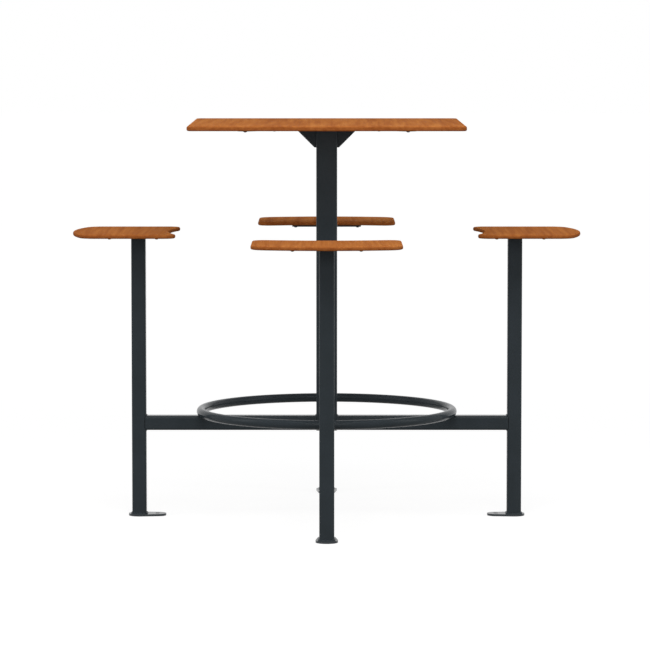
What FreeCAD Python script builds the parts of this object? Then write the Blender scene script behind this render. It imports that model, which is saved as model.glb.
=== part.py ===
import FreeCAD, Part
import math
import os
from FreeCAD import Vector

# A bar-height table with four swivel seats on one welded steel frame.
# Millimetres, +Z up. The origin is on the floor, on the axis of the centre post.
# Everything that repeats for the four seats is made once on the +X side and turned about Z.

# ---------------------------------------------------------------- driving dimensions

# table top
table_width = 750.0
table_depth = 750.0
table_thickness = 13.0
table_corner = 20.0
table_height = 1098.0            # floor to the top face

# seat panel: parallel sides, a hollow inner edge and a bowed outer edge
seat_height = 797.0              # floor to the top face
seat_thickness = 11.0
seat_width = 398.0
seat_reach = 703.5               # table axis to the middle of the outer edge
seat_outer_arc = 550.0           # radius of the outer edge
seat_inner_reach = 437.5         # table axis to the middle of the inner edge
seat_inner_arc = 565.0           # radius of the inner edge
seat_inner_corner = 32.0
seat_outer_corner = 50.0
panel_rounding = 4.5             # round-over of the long edges of every board

# steel tube of the seat posts and the arms
post_offset = 523.0              # table axis to the axis of a seat post
tube_size = 40.0
tube_wall = 3.0
tube_corner = 7.0
arm_underside = 241.0            # floor to the underside of the arms
root_gap = 1.2                   # between an arm's coped end and the seat post

# centre post
centre_size = 58.0
centre_wall = 3.0
centre_corner = 7.0
cap_flange = 3.0
cap_depth = 15.0
cap_wall = 2.5

# foot ring, a round tube that lies on the arms
ring_radius = 350.0              # to the middle of the tube
ring_tube = 25.0
ring_wall = 2.0

# base plates: a large round end under the post and a small one round the anchor hole
base_thickness = 6.0
base_post_radius = 30.0
base_hole_radius = 24.0
anchor_shift = 50.5              # post axis to the anchor hole, towards the table axis
anchor_hole = 13.0

# head plate under the table top, a square hub with four diagonal arms
head_thickness = 5.0
hub_size = 170.0
hub_corner = 12.0
head_arm_width = 44.0
outer_bolt_spread = 221.0        # X and Y of the outer bolts
inner_bolt_spread = 143.0        # X and Y of the inner bolts

# gussets between the centre post and the head plate
gusset_sides = ("right", "left")
gusset_leg = 52.0
gusset_nose = 5.0
gusset_thickness = 6.0

# seat plate
seat_plate_length = 170.0        # towards the table axis
seat_plate_width = 200.0
seat_plate_thickness = 5.0
seat_plate_corner = 12.0
seat_plate_shift = 10.5          # the plate's middle lies this far outside the post axis
seat_bolts_length = 130.0
seat_bolts_width = 180.0

# button-head bolts and the brass inserts that they turn into
bolt_diameter = 6.0
bolt_hole = 6.6
bolt_head_diameter = 11.0
bolt_head_height = 3.5
bolt_head_rim = 0.8
bolt_key = 4.0                   # across the flats of the hexagon socket
bolt_key_depth = 2.0
bolt_tip_gap = 1.0
insert_diameter = 9.0
insert_cover = 3.0               # board left above an insert

# swivel: a spindle in two bushes, in a housing that closes the top of the post
spindle_diameter = 22.0
spindle_tail = 6.0               # spindle below the lower bush
bush_wall = 2.0
bush_length = 20.0
bush_flange_diameter = 36.0
bush_flange_thickness = 2.0
housing_length = 90.0
housing_flange = 4.0
groove_width = 6.0
groove_depth = 2.5
retainer_diameter = 8.0
retainer_hole = 8.6
retainer_dog = 5.0               # plain tip that runs in the spindle's groove
retainer_dog_length = 5.0
retainer_depth = 45.0            # housing's top face to the retaining screw
retainer_key = 4.0
retainer_key_depth = 3.5

# clearances
running_gap = 0.05               # radial, spindle in bush
thread_gap = 0.05                # radial, screw in thread, insert in board, spindle in plate
slide_gap = 0.2                  # housing and cap in their tubes
groove_gap = 0.5                 # retaining screw's tip to the bottom of the groove

# weld beads
arm_weld = 3.0
base_weld = 4.0
head_weld = 3.0
bead_toe = 0.3                   # blunt edge of a bead that runs round a tube
root_underfill = 0.5             # root bead below the faces of the tube
ring_weld_height = 4.0
ring_weld_inner = 4.0            # bead's nearest and farthest edge from the middle of the tube
ring_weld_outer = 9.5

# ---------------------------------------------------------------- derived places

sides = {"right": 0.0, "back": 90.0, "left": 180.0, "front": 270.0}

up = Vector(0, 0, 1)
axis_x = Vector(1, 0, 0)
axis_y = Vector(0, 1, 0)
nowhere = Vector(0, 0, 0)

table_underside = table_height - table_thickness
head_underside = table_underside - head_thickness
seat_underside = seat_height - seat_thickness
plate_underside = seat_underside - seat_plate_thickness
housing_top = plate_underside - bush_flange_thickness
post_top = housing_top - housing_flange
housing_bottom = housing_top - housing_length
arm_top = arm_underside + tube_size
arm_middle = arm_underside + tube_size / 2
ring_height = arm_top + ring_tube / 2

spindle_radius = spindle_diameter / 2
bush_bore = spindle_radius + running_gap
bush_radius = bush_bore + bush_wall
retainer_height = housing_top - retainer_depth
groove_radius = spindle_radius - groove_depth
plate_middle = post_offset + seat_plate_shift


# ---------------------------------------------------------------- small helpers

def upright_edges(solid):
    """Edges parallel to Z."""
    found = []
    for edge in solid.Edges:
        box = edge.BoundBox
        if box.XLength < 1e-6 and box.YLength < 1e-6:
            found.append(edge)
    return found


def level_edges(solid):
    """Edges that lie in a horizontal plane."""
    return [edge for edge in solid.Edges if edge.BoundBox.ZLength < 1e-6]


def block(length, width, height, corner, z):
    """A block centred on the Z axis with rounded upright corners, standing on z."""
    box = Part.makeBox(length, width, height, Vector(-length / 2, -width / 2, z))
    return box.makeFillet(corner, upright_edges(box))


def square_tube(size, wall, corner, length, z):
    outer = block(size, size, length, corner, z)
    inner = block(size - 2 * wall, size - 2 * wall, length, corner - wall, z)
    return outer.cut(inner)


def rod(radius, z_low, z_high, x=0.0, y=0.0):
    return Part.makeCylinder(radius, z_high - z_low, Vector(x, y, z_low), up)


def prism(points, direction):
    """A solid from a closed outline and the vector that it is pushed along."""
    wire = Part.makePolygon(points + [points[0]])
    return Part.Face(wire).extrude(direction)


def hexagon(across, z_low, z_high):
    """A hexagonal rod on the Z axis, for key sockets."""
    radius = across / math.sqrt(3)
    corners = []
    for n in range(6):
        angle = math.radians(60 * n)
        corners.append(Vector(radius * math.cos(angle), radius * math.sin(angle), z_low))
    return prism(corners, up * (z_high - z_low))


def along_x(solid):
    """Lays a solid that stands on the Z axis along +X."""
    laid = solid.copy()
    laid.rotate(nowhere, axis_y, 90)
    return laid


def moved(solid, x, y, z):
    placed = solid.copy()
    placed.translate(Vector(x, y, z))
    return placed


def turned(solid, angle):
    placed = solid.copy()
    placed.rotate(nowhere, up, angle)
    return placed


def save(name, solids):
    shape = solids[0] if len(solids) == 1 else Part.makeCompound(solids)
    shape.exportStep("parts/" + name + ".step")


def save_on_each_side(name, solids):
    for side, angle in sides.items():
        save(name + "_" + side, [turned(solid, angle) for solid in solids])


# ---------------------------------------------------------------- boards, bolts and inserts

def insert_length(board_thickness):
    return board_thickness - insert_cover


def insert_places(board, places, board_underside, board_thickness):
    """Drills the blind holes for the inserts in a board."""
    depth = insert_length(board_thickness)
    for x, y in places:
        hole = rod(insert_diameter / 2 + thread_gap, board_underside, board_underside + depth, x, y)
        board = board.cut(hole)
    return board


def insert(board_thickness):
    """A brass insert that stands on z = 0."""
    length = insert_length(board_thickness)
    return rod(insert_diameter / 2, 0, length).cut(rod(bolt_diameter / 2, 0, length))


def button_bolt(plate_thickness, board_thickness):
    """A bolt whose shank points up from the head's bearing face at z = 0."""
    head_radius = bolt_head_diameter / 2
    shoulder = Vector(head_radius, 0, -bolt_head_rim)
    crown = Vector(0, 0, -bolt_head_height)
    dome_rise = bolt_head_height - bolt_head_rim
    dome_radius = (head_radius ** 2 + dome_rise ** 2) / (2 * dome_rise)
    half_turn = math.asin(head_radius / dome_radius) / 2
    waypoint = Vector(dome_radius * math.sin(half_turn), 0,
                      -bolt_head_height + dome_radius * (1 - math.cos(half_turn)))
    outline = Part.Wire([
        Part.makeLine(nowhere, Vector(head_radius, 0, 0)),
        Part.makeLine(Vector(head_radius, 0, 0), shoulder),
        Part.Arc(shoulder, waypoint, crown).toShape(),
        Part.makeLine(crown, nowhere),
    ])
    head = Part.Face(outline).revolve(nowhere, up, 360)
    shank_length = plate_thickness + insert_length(board_thickness) - bolt_tip_gap
    shank = rod(bolt_diameter / 2 - thread_gap, 0, shank_length)
    socket = hexagon(bolt_key, -bolt_head_height, bolt_key_depth - bolt_head_height)
    return head.fuse(shank).removeSplitter().cut(socket)


def seat_bolt_places():
    places = []
    for along in (-1, 1):
        for across in (-1, 1):
            places.append((plate_middle + along * seat_bolts_length / 2,
                           across * seat_bolts_width / 2))
    return places


def table_bolt_places():
    places = []
    for spread in (inner_bolt_spread, outer_bolt_spread):
        for x_sign in (-1, 1):
            for y_sign in (-1, 1):
                places.append((x_sign * spread, y_sign * spread))
    return places


def table_top():
    board = block(table_width, table_depth, table_thickness, table_corner, table_underside)
    board = board.makeFillet(panel_rounding, level_edges(board))
    return insert_places(board, table_bolt_places(), table_underside, table_thickness)


def seat_panel():
    outer_centre = seat_reach - seat_outer_arc
    board = Part.makeBox(seat_reach, seat_width, seat_thickness,
                         Vector(0, -seat_width / 2, seat_underside))
    board = board.common(rod(seat_outer_arc, seat_underside, seat_height, outer_centre))
    inner_centre = seat_inner_reach - seat_inner_arc
    board = board.cut(rod(seat_inner_arc, seat_underside, seat_height, inner_centre))
    inner_edges = [e for e in upright_edges(board) if e.CenterOfMass.x < post_offset]
    board = board.makeFillet(seat_inner_corner, inner_edges)
    outer_edges = [e for e in upright_edges(board)
                   if e.CenterOfMass.x > post_offset and abs(e.CenterOfMass.y) > seat_width / 2 - 0.01]
    board = board.makeFillet(seat_outer_corner, outer_edges)
    board = board.makeFillet(panel_rounding, level_edges(board))
    return insert_places(board, seat_bolt_places(), seat_underside, seat_thickness)


def bolts_and_inserts(places, plate_low, plate_thickness, board_thickness):
    bolt = button_bolt(plate_thickness, board_thickness)
    sleeve = insert(board_thickness)
    bolts = [moved(bolt, x, y, plate_low) for x, y in places]
    sleeves = [moved(sleeve, x, y, plate_low + plate_thickness) for x, y in places]
    return bolts, sleeves


# ---------------------------------------------------------------- welded frame

def centre_post():
    foot = arm_underside + cap_flange
    return square_tube(centre_size, centre_wall, centre_corner, head_underside - foot, foot)


def centre_post_cap():
    """A plastic plug that closes the foot of the centre post."""
    plug = centre_size - 2 * centre_wall - 2 * slide_gap
    plug_corner = centre_corner - centre_wall - slide_gap
    flange = block(centre_size, centre_size, cap_flange, centre_corner, arm_underside)
    skirt = square_tube(plug, cap_wall, plug_corner, cap_depth, arm_underside + cap_flange)
    return flange.fuse(skirt).removeSplitter()


def seat_post():
    post = square_tube(tube_size, tube_wall, tube_corner, post_top - base_thickness, base_thickness)
    screw_hole = along_x(rod(retainer_hole / 2, -tube_size, 0))
    return moved(post.cut(moved(screw_hole, 0, 0, retainer_height)), post_offset, 0, 0)


def post_space(gap=0.0):
    """The outside of a seat post where an arm meets it, with a gap all round."""
    size = tube_size + 2 * gap
    space = block(size, size, 2 * tube_size, tube_corner + gap, arm_underside - tube_size / 2)
    return moved(space, post_offset, 0, 0)


def arm():
    """Cut square at the centre post and coped to the rounded corners of the seat post."""
    start = centre_size / 2
    tube = along_x(square_tube(tube_size, tube_wall, tube_corner, post_offset - start, start))
    return moved(tube, 0, 0, arm_middle).cut(post_space(root_gap))


def foot_ring():
    outer = Part.makeTorus(ring_radius, ring_tube / 2)
    inner = Part.makeTorus(ring_radius, ring_tube / 2 - ring_wall)
    return moved(outer.cut(inner), 0, 0, ring_height)


def base_plate():
    """Two round ends joined by their outer tangents, with the anchor hole in the small end."""
    lean = math.acos((base_post_radius - base_hole_radius) / anchor_shift)
    inward, aside = math.cos(lean), math.sin(lean)

    def at(centre, radius, along, across):
        return Vector(post_offset - centre - radius * along, radius * across, 0)

    big_left = at(0, base_post_radius, inward, aside)
    big_right = at(0, base_post_radius, inward, -aside)
    small_left = at(anchor_shift, base_hole_radius, inward, aside)
    small_right = at(anchor_shift, base_hole_radius, inward, -aside)
    outline = Part.Wire([
        Part.Arc(big_right, at(0, base_post_radius, -1, 0), big_left).toShape(),
        Part.makeLine(big_left, small_left),
        Part.Arc(small_left, at(anchor_shift, base_hole_radius, 1, 0), small_right).toShape(),
        Part.makeLine(small_right, big_right),
    ])
    plate = Part.Face(outline).extrude(up * base_thickness)
    return plate.cut(rod(anchor_hole / 2, 0, base_thickness, post_offset - anchor_shift))


def head_plate():
    plate = block(hub_size, hub_size, head_thickness, hub_corner, head_underside)
    reach = outer_bolt_spread * math.sqrt(2)
    bar = Part.makeBox(2 * reach, head_arm_width, head_thickness,
                       Vector(-reach, -head_arm_width / 2, head_underside))
    for end in (-reach, reach):
        bar = bar.fuse(rod(head_arm_width / 2, head_underside, table_underside, end))
    plate = plate.fuse([turned(bar, 45), turned(bar, -45)]).removeSplitter()
    for x, y in table_bolt_places():
        plate = plate.cut(rod(bolt_hole / 2, head_underside, table_underside, x, y))
    return plate


def gussets():
    """Upright plates with blunt noses, on two opposite faces of the centre post."""
    face = centre_size / 2
    reach = face + gusset_leg
    low = head_underside - gusset_leg
    half = gusset_thickness / 2
    outline = [
        Vector(face, -half, head_underside),
        Vector(reach, -half, head_underside),
        Vector(reach, -half, head_underside - gusset_nose),
        Vector(face + gusset_nose, -half, low),
        Vector(face, -half, low),
    ]
    gusset = prism(outline, axis_y * gusset_thickness)
    return [turned(gusset, sides[side]) for side in gusset_sides]


# ---------------------------------------------------------------- swivel

def seat_plate():
    plate = block(seat_plate_length, seat_plate_width, seat_plate_thickness,
                  seat_plate_corner, plate_underside)
    plate = moved(plate, plate_middle, 0, 0)
    plate = plate.cut(rod(spindle_radius + thread_gap, plate_underside, seat_underside, post_offset))
    for x, y in seat_bolt_places():
        plate = plate.cut(rod(bolt_hole / 2, plate_underside, seat_underside, x, y))
    return plate


def seat_spindle():
    """Welded through the seat plate; a groove below the upper bush takes the retaining screw."""
    spindle = rod(spindle_radius, housing_bottom - spindle_tail, seat_underside, post_offset)
    low = retainer_height - groove_width / 2
    high = retainer_height + groove_width / 2
    groove = rod(spindle_radius, low, high, post_offset).cut(
        rod(groove_radius, low, high, post_offset))
    return spindle.cut(groove)


def swivel_housing():
    inside = tube_size - 2 * tube_wall
    body = rod(inside / 2 - slide_gap, housing_bottom, post_top)
    flange = block(tube_size, tube_size, housing_flange, tube_corner, post_top)
    housing = body.fuse(flange).cut(rod(bush_radius, housing_bottom, housing_top))
    thread = along_x(rod(retainer_diameter / 2, -tube_size, 0))
    return moved(housing.cut(moved(thread, 0, 0, retainer_height)), post_offset, 0, 0)


def swivel_bushes():
    """A flanged bush that carries the seat plate and a plain one at the foot of the housing."""
    bore = rod(bush_bore, housing_bottom, plate_underside)
    upper = rod(bush_radius, housing_top - bush_length, housing_top)
    upper = upper.fuse(rod(bush_flange_diameter / 2, housing_top, plate_underside))
    lower = rod(bush_radius, housing_bottom, housing_bottom + bush_length)
    return [moved(bush.cut(bore), post_offset, 0, 0) for bush in (upper, lower)]


def retaining_screw():
    """A set screw in the post's inner face. Its tip keeps the spindle down and lets it turn."""
    tip = groove_radius + groove_gap
    dog_end = tip + retainer_dog_length
    face = tube_size / 2
    screw = rod(retainer_diameter / 2 - thread_gap, -face, -dog_end)
    screw = screw.fuse(rod(retainer_dog / 2, -dog_end, -tip))
    screw = screw.cut(hexagon(retainer_key, -face, -face + retainer_key_depth))
    return moved(along_x(screw), post_offset, 0, retainer_height)


# ---------------------------------------------------------------- weld beads

def bead(start, run, first_leg, second_leg):
    """A triangular bead along run, with its two legs on the joined faces."""
    return prism([start, start + first_leg, start + second_leg], run)


def collar(size, corner, leg):
    """A sloping bead round a square tube that stands on the Z axis, foot at z = 0."""
    foot = block(size + 2 * leg, size + 2 * leg, leg, corner + leg, 0)
    rim = [edge for edge in level_edges(foot) if edge.BoundBox.ZMin > leg / 2]
    sloped = foot.makeChamfer(leg - bead_toe, rim)
    return sloped.cut(block(size, size, leg, corner, 0))


def base_weld_bead():
    return moved(collar(tube_size, tube_corner, base_weld), post_offset, 0, base_thickness)


def arm_weld_beads():
    """A collar on the centre post, open below, and beads over and under the arm at the seat post."""
    round_arm = along_x(collar(tube_size, tube_corner, arm_weld))
    round_arm = moved(round_arm, centre_size / 2, 0, arm_middle)
    below = Part.makeBox(centre_size, centre_size, centre_size,
                         Vector(0, -centre_size / 2, arm_underside - centre_size))
    beads = [round_arm.cut(below)]
    face = post_offset - tube_size / 2
    flat = tube_size / 2 - tube_corner
    for z, lean in ((arm_top, 1), (arm_underside, -1)):
        beads.append(bead(Vector(face, -flat, z), axis_y * (2 * flat),
                          axis_x * -arm_weld, up * (lean * arm_weld)))
    return beads


def root_weld_bead():
    """Fills the root gap all round an arm's coped end, a little below its faces."""
    size = tube_size - 2 * root_underfill
    start = post_offset - tube_size
    ring = along_x(square_tube(size, tube_wall - root_underfill, tube_corner - root_underfill,
                               tube_size, start))
    return moved(ring, 0, 0, arm_middle).cut(arm()).cut(post_space())


def ring_weld_beads():
    """Two beads under the ring on the arm, one on each side of the line where it lies."""
    tube = moved(Part.makeTorus(ring_radius, ring_tube / 2), 0, 0, ring_height)
    flat = tube_size / 2 - tube_corner
    sweep = math.degrees(2 * flat / ring_radius)
    beads = []
    for side in (-1, 1):
        near = ring_radius + side * ring_weld_inner
        far = ring_radius + side * ring_weld_outer
        outline = [
            Vector(near, 0, arm_top),
            Vector(far, 0, arm_top),
            Vector(near, 0, arm_top + ring_weld_height),
        ]
        wire = Part.makePolygon(outline + [outline[0]])
        ring_part = turned(Part.Face(wire), -sweep / 2).revolve(nowhere, up, sweep)
        beads.append(ring_part.cut(tube))
    return beads


def head_weld_beads(with_gusset):
    """Beads along the post's top edge. Those beside a gusset also run down the post's face."""
    face = centre_size / 2
    half = gusset_thickness / 2
    flat = face - centre_corner
    if not with_gusset:
        return [bead(Vector(face, -flat, head_underside), axis_y * (2 * flat),
                     axis_x * head_weld, up * -head_weld)]
    run = flat - half - head_weld
    drop = gusset_leg - head_weld
    beads = []
    for side in (-1, 1):
        beads.append(bead(Vector(face, side * (half + head_weld), head_underside),
                          axis_y * (side * run), axis_x * head_weld, up * -head_weld))
        beads.append(bead(Vector(face, side * half, head_underside - head_weld),
                          up * -drop, axis_x * head_weld, axis_y * (side * head_weld)))
    return beads


def on_all_sides(solids):
    return [turned(solid, angle) for angle in sides.values() for solid in solids]


# ---------------------------------------------------------------- write the pieces

os.makedirs("parts", exist_ok=True)

table_bolts, table_inserts = bolts_and_inserts(
    table_bolt_places(), head_underside, head_thickness, table_thickness)
save("table_top", [table_top()])
save("table_bolts", table_bolts)
save("table_inserts", table_inserts)
save("head_plate", [head_plate()])
save("head_gussets", gussets())
save("centre_post", [centre_post()])
save("centre_post_cap", [centre_post_cap()])
save("foot_ring", [foot_ring()])

save_on_each_side("arm", [arm()])
save_on_each_side("seat_post", [seat_post()])
save_on_each_side("base_plate", [base_plate()])

seat_bolts, seat_inserts = bolts_and_inserts(
    seat_bolt_places(), plate_underside, seat_plate_thickness, seat_thickness)
save_on_each_side("seat_panel", [seat_panel()])
save_on_each_side("seat_plate", [seat_plate()])
save_on_each_side("seat_bolts", seat_bolts)
save_on_each_side("seat_inserts", seat_inserts)
save_on_each_side("seat_spindle", [seat_spindle()])
save_on_each_side("swivel_housing", [swivel_housing()])
save_on_each_side("swivel_bushes", swivel_bushes())
save_on_each_side("retaining_screw", [retaining_screw()])

save("base_welds", on_all_sides([base_weld_bead()]))
save("arm_welds", on_all_sides(arm_weld_beads()))
save("arm_root_welds", on_all_sides([root_weld_bead()]))
save("ring_welds", on_all_sides(ring_weld_beads()))
save("head_welds", [turned(solid, angle) for side, angle in sides.items()
                    for solid in head_weld_beads(side in gusset_sides)])
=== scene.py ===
import math
import bpy
from mathutils import Matrix, Vector


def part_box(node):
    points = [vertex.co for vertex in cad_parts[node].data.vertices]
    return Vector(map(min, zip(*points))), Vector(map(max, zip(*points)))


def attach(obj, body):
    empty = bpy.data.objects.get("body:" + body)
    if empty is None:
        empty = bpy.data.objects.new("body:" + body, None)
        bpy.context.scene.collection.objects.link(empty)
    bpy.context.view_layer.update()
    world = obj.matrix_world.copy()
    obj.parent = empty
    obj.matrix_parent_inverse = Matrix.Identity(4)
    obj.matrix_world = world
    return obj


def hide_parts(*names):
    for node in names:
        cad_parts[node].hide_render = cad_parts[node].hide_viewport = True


# Bar-height table with four swivel seats on one welded frame.
# Metres, +Z up, origin on the floor under the centre post. The four sides repeat about Z.

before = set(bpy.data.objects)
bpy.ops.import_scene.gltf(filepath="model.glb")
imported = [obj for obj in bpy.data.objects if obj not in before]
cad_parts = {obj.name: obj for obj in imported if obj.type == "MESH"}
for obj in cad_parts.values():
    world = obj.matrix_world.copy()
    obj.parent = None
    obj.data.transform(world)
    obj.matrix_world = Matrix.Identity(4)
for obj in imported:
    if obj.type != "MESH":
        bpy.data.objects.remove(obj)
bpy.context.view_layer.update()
mm = 0.001
sides = {"right": 0, "back": 90, "left": 180, "front": 270}
print("frame loaded:", len(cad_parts), "nodes")


def linear(hexColour):
    # sRGB hex to linear RGBA
    channels = [int(hexColour[i:i + 2], 16) / 255 for i in (1, 3, 5)]
    return tuple(c / 12.92 if c <= 0.04045 else ((c + 0.055) / 1.055) ** 2.4 for c in channels) + (1.0,)


def addNode(tree, kind, settings=None, **inputs):
    # an input goes by its socket's name, with _ for a space, or by its number, as in at0;
    # it takes a value, a socket, or a node, which stands for its first output.
    # the two colours of a Mix node are at6 and at7, and its mixed colour is outputs[2]
    node = tree.nodes.new(kind)
    for name, value in (settings or {}).items():
        setattr(node, name, value)
    for name, value in inputs.items():
        socket = node.inputs[int(name[2:])] if name[:2] == "at" else node.inputs[name.replace("_", " ")]
        if isinstance(value, bpy.types.Node):
            value = value.outputs[0]
        if isinstance(value, bpy.types.NodeSocket):
            tree.links.new(value, socket)
        else:
            socket.default_value = value
    return node


def newMaterial(name):
    material = bpy.data.materials.new(name)
    material.use_nodes = True
    material.node_tree.nodes.clear()
    return material, material.node_tree


# camera

camera = {
    "lens": 200.18,                          # mm
    "sensor": 36,                            # mm wide
    "place": (-0.0047, -10.0283, 1.4017),
    "lookDown": 4.947,                       # degrees
    "sight": 200,                            # m
}


def placeCamera():
    lens = bpy.data.cameras.new("camera")
    lens.lens = camera["lens"]
    lens.sensor_width = camera["sensor"]
    lens.clip_end = camera["sight"]
    thing = bpy.data.objects.new("camera", lens)
    thing.location = camera["place"]
    thing.rotation_euler = (math.radians(90 - camera["lookDown"]), 0, 0)
    bpy.context.scene.collection.objects.link(thing)
    bpy.context.scene.camera = thing


# room, floor and lamps

studio = {
    "surroundings": 0.35,                    # light that the white room gives dull surfaces
    "floorBounce": "#909090",                # floor as dull surfaces see it
    "floorShare": "#808080",                 # lit part of the floor as the eye sees it, which takes shadows
    "floorGlow": (0.88, 0.93),               # rest of the floor's white, near the table and far away
    "glowReach": (1.5, 5.0),                 # m from the table's axis, where that rest grows
    "floorWidth": 80.0,                      # m
    "floorDrop": 0.5,                        # mm that the floor lies below the base plates
}
softBoxes = {                                # place, aim, width and height in m, watts
    "topLamp": ((0.0, -1.0, 3.3), (0.0, -0.8, 0.8), (2.4, 1.6), 32.0),
    "highLamp": ((0.0, -3.2, 3.4), (0.0, 0.0, 0.7), (3.0, 1.5), 34.0),
    "frontLamp": ((0.0, -5.0, 1.7), (0.0, 0.0, 0.6), (3.0, 1.2), 40.0),
    "leftLamp": ((-2.6, -0.6, 1.6), (0.0, 0.0, 0.5), (1.0, 2.2), 13.0),
    "rightLamp": ((2.6, -0.6, 1.6), (0.0, 0.0, 0.5), (1.0, 2.2), 13.0),
}


def seenByEye(tree):
    # 1 for camera, glossy and transmission rays, so that gloss shows the same white room
    path = addNode(tree, "ShaderNodeLightPath")
    gloss = addNode(tree, "ShaderNodeMath", {"operation": "MAXIMUM"}, at0=path.outputs["Is Glossy Ray"],
                    at1=path.outputs["Is Transmission Ray"])
    return addNode(tree, "ShaderNodeMath", {"operation": "MAXIMUM"}, at0=path.outputs["Is Camera Ray"],
                   at1=gloss)


def whiteRoom():
    world = bpy.data.worlds.new("whiteRoom")
    world.use_nodes = True
    tree = world.node_tree
    tree.nodes.clear()
    level = addNode(tree, "ShaderNodeMapRange", Value=seenByEye(tree), To_Min=studio["surroundings"],
                    To_Max=1.0)
    light = addNode(tree, "ShaderNodeBackground", Color=(1, 1, 1, 1), Strength=level)
    addNode(tree, "ShaderNodeOutputWorld", Surface=light)
    bpy.context.scene.world = world


def paleFloor():
    # pale painted floor: the eye sees it white with a faint shadow, dull surfaces get a soft bounce
    material, tree = newMaterial("paleFloorPaint")
    bounce = addNode(tree, "ShaderNodeBsdfDiffuse", Color=linear(studio["floorBounce"]))
    place = addNode(tree, "ShaderNodeTexCoord")
    away = addNode(tree, "ShaderNodeVectorMath", {"operation": "LENGTH"}, at0=place.outputs["Object"])
    level = addNode(tree, "ShaderNodeMapRange", {"interpolation_type": "SMOOTHSTEP"},
                    Value=away.outputs["Value"], From_Min=studio["glowReach"][0],
                    From_Max=studio["glowReach"][1], To_Min=studio["floorGlow"][0],
                    To_Max=studio["floorGlow"][1])
    glow = addNode(tree, "ShaderNodeEmission", Color=(1, 1, 1, 1), Strength=level)
    share = addNode(tree, "ShaderNodeBsdfDiffuse", Color=linear(studio["floorShare"]))
    seen = addNode(tree, "ShaderNodeAddShader", at0=glow, at1=share)
    above = addNode(tree, "ShaderNodeMixShader", at0=seenByEye(tree), at1=bounce, at2=seen)
    # clear from below, so that the undersides can be looked at
    below = addNode(tree, "ShaderNodeNewGeometry").outputs["Backfacing"]
    paint = addNode(tree, "ShaderNodeMixShader", at0=below, at1=above,
                    at2=addNode(tree, "ShaderNodeBsdfTransparent"))
    addNode(tree, "ShaderNodeOutputMaterial", Surface=paint)
    half = studio["floorWidth"] / 2
    mesh = bpy.data.meshes.new("floor")
    mesh.from_pydata([(-half, -half, 0), (half, -half, 0), (half, half, 0), (-half, half, 0)], [],
                     [(0, 1, 2, 3)])
    mesh.materials.append(material)
    floor = bpy.data.objects.new("floor", mesh)
    floor.location.z = -studio["floorDrop"] * mm
    bpy.context.scene.collection.objects.link(floor)


def softBox(name, place, aim, size, power):
    lamp = bpy.data.lights.new(name, "AREA")
    lamp.shape = "RECTANGLE"
    lamp.size, lamp.size_y = size
    lamp.energy = power
    thing = bpy.data.objects.new(name, lamp)
    thing.location = place
    thing.rotation_euler = (Vector(aim) - Vector(place)).to_track_quat("-Z", "Y").to_euler()
    thing.visible_camera = False
    bpy.context.scene.collection.objects.link(thing)


placeCamera()
whiteRoom()
paleFloor()
for name, box in softBoxes.items():
    softBox(name, *box)
bpy.context.scene.view_settings.view_transform = "Standard"
print("camera, room and lamps placed")


# boards

oiledHardwood = {
    "dark": "#9F5B2A",
    "middle": "#AF6932",
    "light": "#BC763B",
    "pore": "#6E3B1C",
    "paintedEdgeShade": "#F2E8EC",         # painted shade: upright edge faces darker than the tops, for the less light that falls on them
    "edgeShadeStart": (0.97, 0.70),     # upright share of the normal where the painted edge shade starts and where it is whole
    "ribbon": (14, 420, 9),        # mm across the grain, along it and through the board
    "cloud": (110, 620, 60),
    "fibre": (3.0, 320, 2.4),
    "shares": {"ribbon": 0.50, "cloud": 0.25, "fibre": 0.25},   # of the tone
    "contrast": 0.24,              # width of the ramp from dark to light, in the noise's units
    "wander": 9.0,                 # mm that the grain sways sideways
    "swaySize": (140, 420, 200),
    "poreSize": (1.5, 16, 1.2),    # mm; real pores are 0.2 mm wide, too fine to show
    "poreLevels": (0.60, 0.70),    # of the noise, from the rim of a pore to its middle
    "poreDarkening": 0.40,
    "poreDip": 0.8,                # of the relief
    "reliefDepth": 0.07,           # mm
    "roughness": (0.86, 0.96),
    "specularLevel": 0.03,
    "nextBoard": (3.1, 1.7, 0.6),  # m through the wood from one board to the next
}
noiseReach = (0.3, 0.7)            # what noise seldom goes beyond


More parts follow.
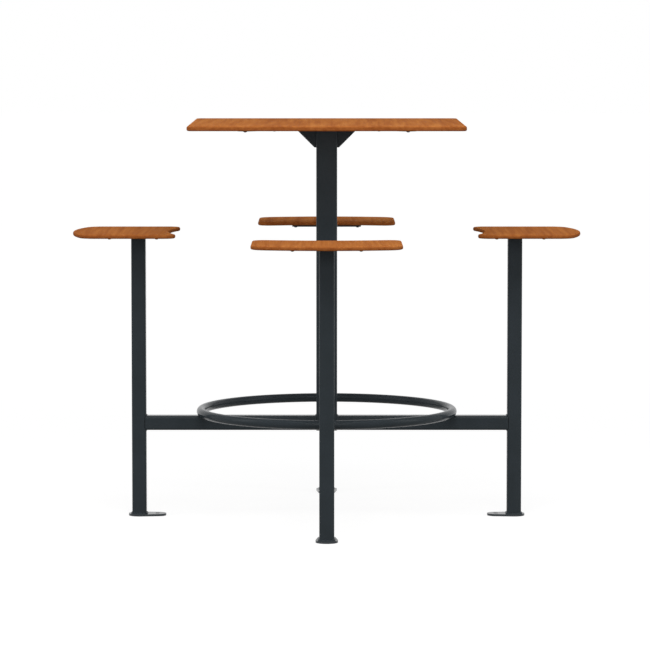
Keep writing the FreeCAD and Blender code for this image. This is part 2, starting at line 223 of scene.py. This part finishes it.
def boardMaterial(name, seed):
    # oiled quarter-sawn hardwood: matte warm brown with soft ribbon stripes along the grain
    look = oiledHardwood
    material, tree = newMaterial(name)
    place = addNode(tree, "ShaderNodeTexCoord")
    laid = addNode(tree, "ShaderNodeMapping", Vector=place.outputs["Object"],
                   Location=[seed * shift for shift in look["nextBoard"]])

    def streaks(vector, size, detail=1.0, rough=0.5):
        # noise drawn out along the grain, from the real size of its grains in mm
        fine = addNode(tree, "ShaderNodeVectorMath", {"operation": "DIVIDE"}, at0=vector,
                       at1=[s * mm for s in size])
        return addNode(tree, "ShaderNodeTexNoise", Vector=fine, Scale=1.0, Detail=detail, Roughness=rough)

    sway = addNode(tree, "ShaderNodeMapRange", Value=streaks(laid, look["swaySize"]),
                   To_Min=-look["wander"] * mm, To_Max=look["wander"] * mm)
    push = addNode(tree, "ShaderNodeCombineXYZ", X=sway)
    grain = addNode(tree, "ShaderNodeVectorMath", {"operation": "ADD"}, at0=laid, at1=push)
    fibre = streaks(grain, look["fibre"], 3.0, 0.6)

    shares = look["shares"]
    tone = addNode(tree, "ShaderNodeMath", {"operation": "MULTIPLY"}, at0=fibre, at1=shares["fibre"])
    tone = addNode(tree, "ShaderNodeMath", {"operation": "MULTIPLY_ADD"}, at1=shares["cloud"], at2=tone,
                   at0=streaks(grain, look["cloud"]))
    tone = addNode(tree, "ShaderNodeMath", {"operation": "MULTIPLY_ADD"}, at1=shares["ribbon"], at2=tone,
                   at0=streaks(grain, look["ribbon"], 2.0))
    wood = addNode(tree, "ShaderNodeValToRGB", at0=tone)
    wood.color_ramp.elements.new(0.5)
    for stop, way, colour in zip(wood.color_ramp.elements, (-0.5, 0.0, 0.5), ("dark", "middle", "light")):
        stop.position = 0.5 + way * look["contrast"]
        stop.color = linear(look[colour])

    pore = addNode(tree, "ShaderNodeMapRange", Value=streaks(grain, look["poreSize"]),
                   From_Min=look["poreLevels"][0], From_Max=look["poreLevels"][1],
                   To_Max=look["poreDarkening"])
    wood = addNode(tree, "ShaderNodeMix", {"data_type": "RGBA"}, at0=pore, at6=wood,
                   at7=linear(look["pore"]))

    # painted shade: faces that stand upright are multiplied by the edge shade colour
    facing = addNode(tree, "ShaderNodeSeparateXYZ", Vector=place.outputs["Normal"])
    level = addNode(tree, "ShaderNodeMath", {"operation": "ABSOLUTE"}, at0=facing.outputs["Z"])
    shadeMask = addNode(tree, "ShaderNodeMapRange", Value=level, From_Min=look["edgeShadeStart"][0],
                   From_Max=look["edgeShadeStart"][1])
    wood = addNode(tree, "ShaderNodeMix", {"data_type": "RGBA", "blend_type": "MULTIPLY"}, at0=shadeMask,
                   at6=wood.outputs[2], at7=linear(look["paintedEdgeShade"]))

    relief = addNode(tree, "ShaderNodeMath", {"operation": "MULTIPLY_ADD"}, at0=pore, at1=-look["poreDip"],
                     at2=fibre)
    bump = addNode(tree, "ShaderNodeBump", Distance=look["reliefDepth"] * mm, Height=relief)
    rough = addNode(tree, "ShaderNodeMapRange", Value=fibre, From_Min=noiseReach[0],
                    From_Max=noiseReach[1], To_Min=look["roughness"][0], To_Max=look["roughness"][1])
    shader = addNode(tree, "ShaderNodeBsdfPrincipled", Base_Color=wood.outputs[2], Roughness=rough,
                     Specular_IOR_Level=look["specularLevel"], Normal=bump)
    addNode(tree, "ShaderNodeOutputMaterial", Surface=shader)
    return material


def dress(material, *starts):
    # gives the CAD nodes whose names start so their finish
    for name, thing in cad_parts.items():
        if name.startswith(starts):
            for slot in thing.material_slots:
                slot.material = material


# all five boards are laid with the grain from front to back
dress(boardMaterial("oiledHardwoodTable", 1), "table_top")
for seed, side in enumerate(sides, 2):
    dress(boardMaterial("oiledHardwoodSeat_" + side, seed), "seat_panel_" + side)
print("boards oiled")


# coated steel

powderCoat = {
    "colour": "#343B3F",
    "patch": "#383F44",
    "patchSize": 90,               # mm, soft unevenness of the coat
    "patchLevels": (0.35, 0.65),   # of the noise, from the one colour to the other
    "roughness": 0.20,
    "specularLevel": 0.07,
    "peelSize": 3.0,               # mm; a real satin coat ripples at about 1 mm, too fine to show
    "peelDepth": 0.005,            # mm
}
# powder levels out on flat plates, so that their tops mirror the white room more
plateCoat = dict(powderCoat, specularLevel=0.3)
# the coat lies thinner on ripples
weldCoat = dict(powderCoat, roughness=0.22, patchSize=9, peelDepth=0.012)
# painted shade: the groove at an arm's coped end is coloured near black for the shade that falls in it
grooveShadeCoat = dict(weldCoat, colour="#101214", patch="#181B1D", roughness=0.6)


def coatMaterial(name, look):
    # satin powder coat on steel: dark anthracite, smooth, bright only at low angles
    material, tree = newMaterial(name)
    place = addNode(tree, "ShaderNodeTexCoord")
    patch = addNode(tree, "ShaderNodeTexNoise", Vector=place.outputs["Object"],
                    Scale=1 / (look["patchSize"] * mm), Detail=2.0)
    share = addNode(tree, "ShaderNodeMapRange", Value=patch, From_Min=look["patchLevels"][0],
                    From_Max=look["patchLevels"][1])
    colour = addNode(tree, "ShaderNodeMix", {"data_type": "RGBA"}, at0=share, at6=linear(look["colour"]),
                     at7=linear(look["patch"]))
    peel = addNode(tree, "ShaderNodeTexNoise", Vector=place.outputs["Object"],
                   Scale=1 / (look["peelSize"] * mm), Detail=1.0)
    bump = addNode(tree, "ShaderNodeBump", Distance=look["peelDepth"] * mm, Height=peel)
    shader = addNode(tree, "ShaderNodeBsdfPrincipled", Base_Color=colour.outputs[2],
                     Roughness=look["roughness"], Specular_IOR_Level=look["specularLevel"], Normal=bump)
    addNode(tree, "ShaderNodeOutputMaterial", Surface=shader)
    return material


dress(coatMaterial("satinPowderCoat", powderCoat), "arm_", "seat_post_", "seat_plate_", "centre_post",
      "foot_ring", "head_", "swivel_housing_")
dress(coatMaterial("powderCoatOnPlates", plateCoat), "base_plate_")
coatOnWelds = coatMaterial("powderCoatOnWelds", weldCoat)
# painted shade on the root welds in the grooves at the arms' coped ends
dress(coatMaterial("paintedGrooveShade", grooveShadeCoat), "arm_root_welds")
print("frame coated")


# small metal and plastic pieces: dull black bolts, yellow brass, bright steel, dull black plastics;
# marks and depth are mm

blackZinc = {"colour": "#37383B", "roughness": 0.38, "metallic": 1.0, "marks": 0.35, "depth": 0.004}
machinedBrass = {"colour": "#C9A45E", "roughness": 0.30, "metallic": 1.0, "marks": 0.25, "depth": 0.006}
turnedSteel = {"colour": "#B4B5B6", "roughness": 0.28, "metallic": 1.0, "marks": 0.30, "depth": 0.006}
mouldedAcetal = {"colour": "#3A3B3C", "roughness": 0.45, "metallic": 0.0, "marks": 0.0, "depth": 0.003}
mouldedPolythene = {"colour": "#1B1C1D", "roughness": 0.55, "metallic": 0.0, "marks": 0.0, "depth": 0.008}
surfaceMarks = {
    "ringWidth": 200,              # mm, wider than any turned piece, so that a ring runs all round it
    "skinGrain": 0.8,              # mm, etched skin of a mould
    "roughnessSwing": 0.06,
}


def turnedMaterial(name, look):
    # lathe marks are rings of about 0.3 mm round an upright axis, so they change with the height only;
    # moulded plastic has a fine etched skin instead
    material, tree = newMaterial(name)
    place = addNode(tree, "ShaderNodeTexCoord")
    size = [surfaceMarks["ringWidth"] * mm] * 2 + [look["marks"] * mm]
    if not look["marks"]:
        size = [surfaceMarks["skinGrain"] * mm] * 3
    fine = addNode(tree, "ShaderNodeVectorMath", {"operation": "DIVIDE"}, at0=place.outputs["Object"],
                   at1=size)
    marks = addNode(tree, "ShaderNodeTexNoise", Vector=fine, Scale=1.0, Detail=2.0)
    bump = addNode(tree, "ShaderNodeBump", Distance=look["depth"] * mm, Height=marks)
    swing = surfaceMarks["roughnessSwing"]
    rough = addNode(tree, "ShaderNodeMapRange", Value=marks, From_Min=noiseReach[0],
                    From_Max=noiseReach[1], To_Min=look["roughness"] - swing,
                    To_Max=look["roughness"] + swing)
    shader = addNode(tree, "ShaderNodeBsdfPrincipled", Base_Color=linear(look["colour"]),
                     Metallic=look["metallic"], Roughness=rough, Normal=bump)
    addNode(tree, "ShaderNodeOutputMaterial", Surface=shader)
    return material


dress(turnedMaterial("blackZincSteel", blackZinc), "table_bolts", "seat_bolts_", "retaining_screw_")
dress(turnedMaterial("machinedBrass", machinedBrass), "table_inserts", "seat_inserts_")
dress(turnedMaterial("turnedSteel", turnedSteel), "seat_spindle_")
dress(turnedMaterial("mouldedAcetal", mouldedAcetal), "swivel_bushes_")
dress(turnedMaterial("mouldedPolythene", mouldedPolythene), "centre_post_cap")
print("small pieces finished")


# weld beads

weldBeads = {
    "legs": {"base_welds": 4.0, "arm_welds": 3.0, "head_welds": 3.0, "ring_welds": 4.5},   # mm
    "sunk": 0.12,                  # share of the leg that the root lies inside the corner
    "tip": 0.45,                   # share of the leg that is left at a bead's ends
    "step": 0.6,                   # mm between the points along a bead
    "arcPoints": 9,                # across a bead
    "pitch": 2.4,                  # mm from ripple to ripple
    "ripple": 0.11,                # share of the leg
    "bow": 0.8,                    # ripples that a ripple's sides lag behind its middle
    "unevenness": 0.10,            # share of the leg
    "lumpSize": 9.0,               # mm
    "tubeCorner": 7.0,             # mm, rounded corners of the square tubes
    "ringOffset": 4.5,             # mm from the middle of the ring's tube to the root of a bead
    "ringLean": 35.0,              # degrees that a bead at the ring faces above level
    "ringPieces": 4,               # straight pieces in half a bead at the ring
    "cornerPieces": 6,             # and round a tube's corner
}


def beadTree():
    # sweeps a quarter-round fillet along the edges of a mesh, whose attribute "outward" says where it faces
    tree = bpy.data.node_groups.new("weldBead", "GeometryNodeTree")
    tree.interface.new_socket("Bead", in_out="OUTPUT", socket_type="NodeSocketGeometry")
    tree.interface.new_socket("Path", in_out="INPUT", socket_type="NodeSocketGeometry")
    for name in ("Leg", "Step", "Pitch", "Ripple", "Bow", "Unevenness", "Lump Size", "Seed"):
        tree.interface.new_socket(name, in_out="INPUT", socket_type="NodeSocketFloat")
    tree.interface.new_socket("Finish", in_out="INPUT", socket_type="NodeSocketMaterial")
    given = addNode(tree, "NodeGroupInput").outputs

    path = addNode(tree, "GeometryNodeMeshToCurve", Mesh=given["Path"])
    path = addNode(tree, "GeometryNodeResampleCurve", {"mode": "LENGTH"}, Curve=path, Length=given["Step"])
    outward = addNode(tree, "GeometryNodeInputNamedAttribute", {"data_type": "FLOAT_VECTOR"},
                      Name="outward")
    path = addNode(tree, "GeometryNodeSetCurveNormal", {"mode": "FREE"}, Curve=path, Normal=outward)

    # a bead that doesn't close on itself tapers over one leg at each end
    along = addNode(tree, "GeometryNodeSplineParameter").outputs["Length"]
    whole = addNode(tree, "GeometryNodeSplineLength")
    closed = addNode(tree, "GeometryNodeInputSplineCyclic")
    rest = addNode(tree, "ShaderNodeMath", {"operation": "SUBTRACT"}, at0=whole, at1=along)
    toEnd = addNode(tree, "ShaderNodeMath", {"operation": "MINIMUM"}, at0=along, at1=rest)
    taper = addNode(tree, "ShaderNodeMapRange", {"interpolation_type": "SMOOTHERSTEP"}, Value=toEnd,
                    From_Max=given["Leg"], To_Min=weldBeads["tip"], To_Max=1.0)
    taper = addNode(tree, "ShaderNodeMath", {"operation": "MAXIMUM"}, at0=taper, at1=closed)
    size = addNode(tree, "ShaderNodeMath", {"operation": "MULTIPLY"}, at0=taper, at1=given["Leg"])

    # whole ripples on every bead
    ripples = addNode(tree, "ShaderNodeMath", {"operation": "DIVIDE"}, at0=whole, at1=given["Pitch"])
    ripples = addNode(tree, "ShaderNodeMath", {"operation": "ROUND"}, at0=ripples)
    turns = addNode(tree, "ShaderNodeMath", {"operation": "DIVIDE"}, at0=along, at1=whole)
    turns = addNode(tree, "ShaderNodeMath", {"operation": "MULTIPLY"}, at0=turns, at1=ripples)

    path = addNode(tree, "GeometryNodeCaptureAttribute", Geometry=path)
    path.capture_items.new("VECTOR", "Root")
    path.capture_items.new("FLOAT", "Turns")
    tree.links.new(addNode(tree, "GeometryNodeInputPosition").outputs[0], path.inputs["Root"])
    tree.links.new(turns.outputs[0], path.inputs["Turns"])
    section = addNode(tree, "GeometryNodeCurveArc", Resolution=weldBeads["arcPoints"], Radius=1.0,
                      Start_Angle=math.radians(-45), Sweep_Angle=math.radians(90), Connect_Center=True)
    section = addNode(tree, "GeometryNodeCaptureAttribute", Geometry=section)
    section.capture_items.new("VECTOR", "Section")
    tree.links.new(addNode(tree, "GeometryNodeInputPosition").outputs[0], section.inputs["Section"])
    bead = addNode(tree, "GeometryNodeCurveToMesh", Curve=path, Profile_Curve=section, Scale=size,
                   Fill_Caps=True)

    across = addNode(tree, "ShaderNodeSeparateXYZ", Vector=section.outputs["Section"]).outputs["Y"]
    lag = addNode(tree, "ShaderNodeMath", {"operation": "MULTIPLY"}, at0=across, at1=across)
    phase = addNode(tree, "ShaderNodeMath", {"operation": "MULTIPLY_ADD"}, at0=lag, at1=given["Bow"],
                    at2=path.outputs["Turns"])
    phase = addNode(tree, "ShaderNodeMath", {"operation": "MULTIPLY"}, at0=phase, at1=math.pi)
    wave = addNode(tree, "ShaderNodeMath", {"operation": "SINE"}, at0=phase)
    wave = addNode(tree, "ShaderNodeMath", {"operation": "ABSOLUTE"}, at0=wave)
    wave = addNode(tree, "ShaderNodeMath", {"operation": "SUBTRACT"}, at0=wave, at1=1.0)
    grow = addNode(tree, "ShaderNodeMath", {"operation": "MULTIPLY"}, at0=wave, at1=given["Ripple"])
    spot = addNode(tree, "ShaderNodeVectorMath", {"operation": "DIVIDE"}, at0=path.outputs["Root"],
                   at1=given["Lump Size"])
    lump = addNode(tree, "ShaderNodeTexNoise", {"noise_dimensions": "4D"}, Vector=spot, W=given["Seed"],
                   Scale=1.0, Detail=1.0)
    lump = addNode(tree, "ShaderNodeMath", {"operation": "SUBTRACT"}, at0=lump, at1=0.5)
    grow = addNode(tree, "ShaderNodeMath", {"operation": "MULTIPLY_ADD"}, at0=lump,
                   at1=given["Unevenness"], at2=grow)
    arm = addNode(tree, "ShaderNodeVectorMath", {"operation": "SUBTRACT"},
                  at0=addNode(tree, "GeometryNodeInputPosition"), at1=path.outputs["Root"])
    shift = addNode(tree, "ShaderNodeVectorMath", {"operation": "SCALE"}, at0=arm, Scale=grow)
    bead = addNode(tree, "GeometryNodeSetPosition", Geometry=bead, Offset=shift)

    bead = addNode(tree, "GeometryNodeSetShadeSmooth", Geometry=bead)
    bead = addNode(tree, "GeometryNodeRealizeInstances", Geometry=bead)
    bead = addNode(tree, "GeometryNodeSetMaterial", Geometry=bead, Material=given["Finish"])
    addNode(tree, "NodeGroupOutput", Bead=bead)
    return tree


def makeBeads(tree, node, runs, seed):
    # a run is a list of points with the directions that the bead faces there, and whether it closes
    leg = weldBeads["legs"][node] * mm
    points, directions, edges = [], [], []
    for run, closes in runs:
        first = len(points)
        for point, direction in run:
            direction = direction.normalized()
            points.append(point - direction * leg * weldBeads["sunk"])
            directions.extend(direction)
        edges += [(i, i + 1) for i in range(first, len(points) - 1)]
        if closes:
            edges.append((len(points) - 1, first))
    paths = bpy.data.meshes.new(node + "Paths")
    paths.from_pydata(points, edges, [])
    paths.attributes.new("outward", "FLOAT_VECTOR", "POINT").data.foreach_set("vector", directions)
    wires = bpy.data.objects.new(node + "Paths", paths)
    bpy.context.scene.collection.objects.link(wires)

    sizes = {"Leg": leg, "Step": weldBeads["step"] * mm, "Pitch": weldBeads["pitch"] * mm,
             "Ripple": weldBeads["ripple"], "Bow": weldBeads["bow"], "Unevenness": weldBeads["unevenness"],
             "Lump Size": weldBeads["lumpSize"] * mm, "Seed": seed, "Finish": coatOnWelds}
    sweep = wires.modifiers.new("weldBead", "NODES")
    sweep.node_group = tree
    for socket in tree.interface.items_tree:
        if socket.in_out == "INPUT" and socket.name in sizes:
            sweep[socket.identifier] = sizes[socket.name]
    ready = wires.evaluated_get(bpy.context.evaluated_depsgraph_get())
    mesh = bpy.data.meshes.new_from_object(ready)
    bpy.data.objects.remove(wires)
    beads = bpy.data.objects.new(node + "Rippled", mesh)
    bpy.context.scene.collection.objects.link(beads)
    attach(beads, "frame")
    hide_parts(node)


def roundCorner(quarter, half, corner):
    # points and outward directions round one corner of a rounded square, anticlockwise from +x
    turn = Matrix.Rotation(math.pi / 2 * quarter, 2)
    steps = weldBeads["cornerPieces"]
    found = []
    for step in range(steps + 1):
        angle = math.pi / 2 * step / steps
        out = Vector((math.cos(angle), math.sin(angle)))
        found.append((turn @ (Vector((half - corner, half - corner)) + out * corner), turn @ out))
    return found


def onSides(runs, names=tuple(sides)):
    # runs made on the +X side, turned round the table's axis
    turned = []
    for name in names:
        turn = Matrix.Rotation(math.radians(sides[name]), 3, "Z")
        turned += [([(turn @ point, turn @ direction) for point, direction in run], closes)
                   for run, closes in runs]
    return turned


def frameBeads():
    corner = weldBeads["tubeCorner"] * mm
    postLow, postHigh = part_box("seat_post_right")
    armLow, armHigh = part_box("arm_right")
    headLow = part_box("head_plate")[0]
    gussetLow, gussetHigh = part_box("head_gussets")
    ringLow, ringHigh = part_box("foot_ring")
    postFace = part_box("centre_post")[1].x
    half = postHigh.y
    flat = half - corner

    # round the foot of a seat post
    middle = (postLow + postHigh) / 2
    foot = [(Vector((middle.x + p.x, p.y, postLow.z)), Vector((out.x, out.y, 1)))
            for quarter in range(4) for p, out in roundCorner(quarter, half, corner)]

    # round an arm where it meets the centre post, open below
    armMiddle = (armLow.z + armHigh.z) / 2
    ring = [(Vector((half, -flat)), Vector((1, 0)))]
    ring += roundCorner(0, half, corner) + roundCorner(1, half, corner)
    ring += [(Vector((-half, -flat)), Vector((-1, 0)))]
    atCentre = [(Vector((postFace, p.x, armMiddle + p.y)), Vector((1, out.x, out.y))) for p, out in ring]
    atPost = []                              # above and below an arm's end at its seat post
    for z, up in ((armHigh.z, 1), (armLow.z, -1)):
        atPost.append(([(Vector((postLow.x, y, z)), Vector((-1, 0, up))) for y in (-flat, flat)], False))

    # on an arm, inside and outside the line where the foot ring lies on it
    tube = ringHigh.z - ringLow.z
    ringRadius = ringHigh.x - tube / 2
    lean = math.radians(weldBeads["ringLean"])
    steps = weldBeads["ringPieces"]
    underRing = []
    for side in (-1, 1):
        radius = ringRadius + side * weldBeads["ringOffset"] * mm
        run = []
        for step in range(-steps, steps + 1):
            angle = flat / radius * step / steps
            out = Vector((math.cos(angle), math.sin(angle), 0))
            run.append((out * radius + Vector((0, 0, armHigh.z)),
                        out * side * math.cos(lean) + Vector((0, 0, math.sin(lean)))))
        underRing.append((run, False))

    # under the head plate, and down the post beside the gussets on the right and left
    def underHead(near, far):
        return [(Vector((postFace, y, headLow.z)), Vector((1, 0, -1))) for y in (near, far)], False

    headFlat = postFace - corner
    gussetHalf = (gussetHigh.y - gussetLow.y) / 2
    leg = weldBeads["legs"]["head_welds"] * mm
    atGusset = []
    for side in (-1, 1):
        atGusset.append(underHead(side * (gussetHalf + leg), side * headFlat))
        atGusset.append(([(Vector((postFace, side * gussetHalf, z)), Vector((1, side, 0)))
                          for z in (headLow.z - leg, gussetLow.z)], False))

    return {
        "base_welds": onSides([(foot, True)]),
        "arm_welds": onSides([(atCentre, False)] + atPost),
        "ring_welds": onSides(underRing),
        "head_welds": onSides(atGusset, ("right", "left")) +
                      onSides([underHead(-headFlat, headFlat)], ("back", "front")),
    }


sweepTree = beadTree()
for seed, (node, runs) in enumerate(frameBeads().items()):
    makeBeads(sweepTree, node, runs, seed + 1.0)
print("weld beads laid")
